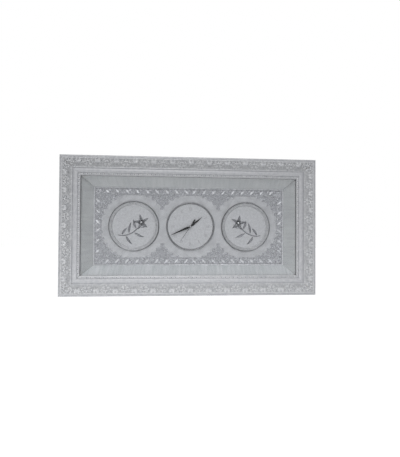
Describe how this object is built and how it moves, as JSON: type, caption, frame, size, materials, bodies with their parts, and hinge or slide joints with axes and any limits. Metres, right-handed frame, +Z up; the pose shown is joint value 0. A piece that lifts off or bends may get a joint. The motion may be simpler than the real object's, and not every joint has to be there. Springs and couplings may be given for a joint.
{
  "type": "wall clock",
  "caption": "Long wall clock with a deep carved mitred frame, sloping liners and an openwork panel behind glass, its dial set between raised floral medallions.",
  "frame": {"origin": "on the dial's axis, in the plane of the wall that the clock hangs on", "axes": "+X to the right as seen from the front, +Y into the wall, so the dial faces -Y, +Z up"},
  "size_m": [0.87, 0.081, 0.47],
  "materials": {
    "pearl": "carved and sprayed pearl white with a soft silver sheen",
    "liner": "smooth gloss lacquer, cool white",
    "glass": "clear polished float glass",
    "board": "fibreboard sprayed pale satin grey",
    "lace": "satin silver-grey openwork",
    "disc": "satin silver-white lacquer",
    "silver": "polished dark silver plate",
    "black": "thin sheet lacquered satin black",
    "movement": "fine spark-eroded black",
    "train": "natural acetal",
    "brass": "plain rolled sheet, satin",
    "steel": "bright zinc plate",
    "copper": "lacquered copper winding",
    "circuit": "green solder mask",
    "cell": "plain blue sleeve without print",
    "fibreboard": "raw brown hardboard",
    "pine": "raw sawn pine",
    "rubber": "soft matte black"
  },
  "bodies": {
    "case": {"rail_top": "pearl", "rail_left": "pearl", "rail_bottom": "pearl", "rail_right": "pearl", "liner_top": "liner", "liner_left": "liner", "liner_bottom": "liner", "liner_right": "liner", "spacer_top": "pine", "spacer_bottom": "pine", "spacer_left": "pine", "spacer_right": "pine", "hanger_strap_left": "steel", "hanger_screw_left": "steel", "hanger_strap_right": "steel", "hanger_screw_right": "steel", "contact_positive": "steel", "contact_negative": "steel", "stator": "steel", "quartz_crystal": "steel", "bumper_left": "rubber", "bumper_right": "rubber", "gasket": "rubber", "movement_front_case": "movement", "movement_rear_case": "movement", "train_plate": "movement", "medallion_ring_left": "silver", "medallion_ring_right": "silver", "flower_spray_left": "silver", "flower_spray_right": "silver", "dial_ring": "silver", "centre_nut": "silver", "medallion_disc_left": "disc", "medallion_disc_right": "disc", "dial": "disc", "front_glass": "glass", "base_panel": "board", "back_board": "fibreboard", "lace_panel": "lace", "coil": "copper", "circuit_board": "circuit"},
    "minute": {"minute_arbor": "brass", "minute_hand": "black"},
    "hour": {"hour_wheel": "train", "hour_hand": "black"},
    "motion": {"motion_wheel": "train"},
    "knob": {"set_knob": "movement"},
    "second": {"second_wheel": "train", "second_hand": "black"},
    "third": {"third_wheel": "train"},
    "centre": {"centre_wheel": "train"},
    "step": {"step_wheel": "train"},
    "rotor": {"rotor": "steel"},
    "cell": {"battery": "cell"},
    "ring_left": {"hanger_ring_left": "steel"},
    "ring_right": {"hanger_ring_right": "steel"},
    "button_top_left": {"turn_button_top_left": "brass"},
    "button_top_right": {"turn_button_top_right": "brass"},
    "button_bottom_left": {"turn_button_bottom_left": "brass"},
    "button_bottom_right": {"turn_button_bottom_right": "brass"}
  },
  "joints": [
    {"name": "minute_turn", "type": "hinge", "parent": "case", "child": "minute", "pos_m": [0, -0.03, 0], "axis": [0, 1, 0], "continuous": true},
    {"name": "hour_turn", "type": "hinge", "parent": "case", "child": "hour", "pos_m": [0, -0.03, 0], "axis": [0, 1, 0], "continuous": true},
    {"name": "motion_turn", "type": "hinge", "parent": "case", "child": "motion", "pos_m": [-0.011, -0.019, 0], "axis": [0, 1, 0], "continuous": true},
    {"name": "knob_turn", "type": "hinge", "parent": "case", "child": "knob", "pos_m": [-0.02053, -0.012, 0.0055], "axis": [0, 1, 0], "continuous": true},
    {"name": "second_turn", "type": "hinge", "parent": "case", "child": "second", "pos_m": [0, -0.03, 0], "axis": [0, 1, 0], "continuous": true},
    {"name": "third_turn", "type": "hinge", "parent": "case", "child": "third", "pos_m": [-0.00187, -0.016, 0.01064], "axis": [0, 1, 0], "continuous": true},
    {"name": "centre_turn", "type": "hinge", "parent": "case", "child": "centre", "pos_m": [0, -0.019, 0], "axis": [0, 1, 0], "continuous": true},
    {"name": "step_turn", "type": "hinge", "parent": "case", "child": "step", "pos_m": [0.00728, -0.011, 0.0042], "axis": [0, 1, 0], "continuous": true},
    {"name": "rotor_turn", "type": "hinge", "parent": "case", "child": "rotor", "pos_m": [0.01087, -0.01, 0.01043], "axis": [0, 1, 0], "continuous": true},
    {"name": "cell_slide", "type": "slide", "parent": "case", "child": "cell", "axis": [0, 1, 0], "range_m": [0, 0.02]},
    {"name": "ring_left_swing", "type": "hinge", "parent": "case", "child": "ring_left", "pos_m": [-0.3, -0.0022, 0.2072], "axis": [1, 0, 0], "range_deg": [0, 180]},
    {"name": "ring_right_swing", "type": "hinge", "parent": "case", "child": "ring_right", "pos_m": [0.3, -0.0022, 0.2072], "axis": [1, 0, 0], "range_deg": [0, 180]},
    {"name": "button_top_left_turn", "type": "hinge", "parent": "case", "child": "button_top_left", "pos_m": [-0.22, -0.00325, 0.179], "axis": [0, 1, 0], "range_deg": [-90, 90]},
    {"name": "button_top_right_turn", "type": "hinge", "parent": "case", "child": "button_top_right", "pos_m": [0.22, -0.00325, 0.179], "axis": [0, 1, 0], "range_deg": [-90, 90]},
    {"name": "button_bottom_left_turn", "type": "hinge", "parent": "case", "child": "button_bottom_left", "pos_m": [-0.22, -0.00325, -0.179], "axis": [0, 1, 0], "range_deg": [-90, 90]},
    {"name": "button_bottom_right_turn", "type": "hinge", "parent": "case", "child": "button_bottom_right", "pos_m": [0.22, -0.00325, -0.179], "axis": [0, 1, 0], "range_deg": [-90, 90]}
  ],
  "couplings": [
    {"joint": "hour_turn", "follows": "minute_turn", "ratio": 0.083333},
    {"joint": "motion_turn", "follows": "minute_turn", "ratio": -0.33333},
    {"joint": "knob_turn", "follows": "minute_turn", "ratio": 1},
    {"joint": "third_turn", "follows": "second_turn", "ratio": -0.125},
    {"joint": "centre_turn", "follows": "second_turn", "ratio": 0.016667},
    {"joint": "step_turn", "follows": "second_turn", "ratio": -6},
    {"joint": "rotor_turn", "follows": "second_turn", "ratio": 30}
  ]
}
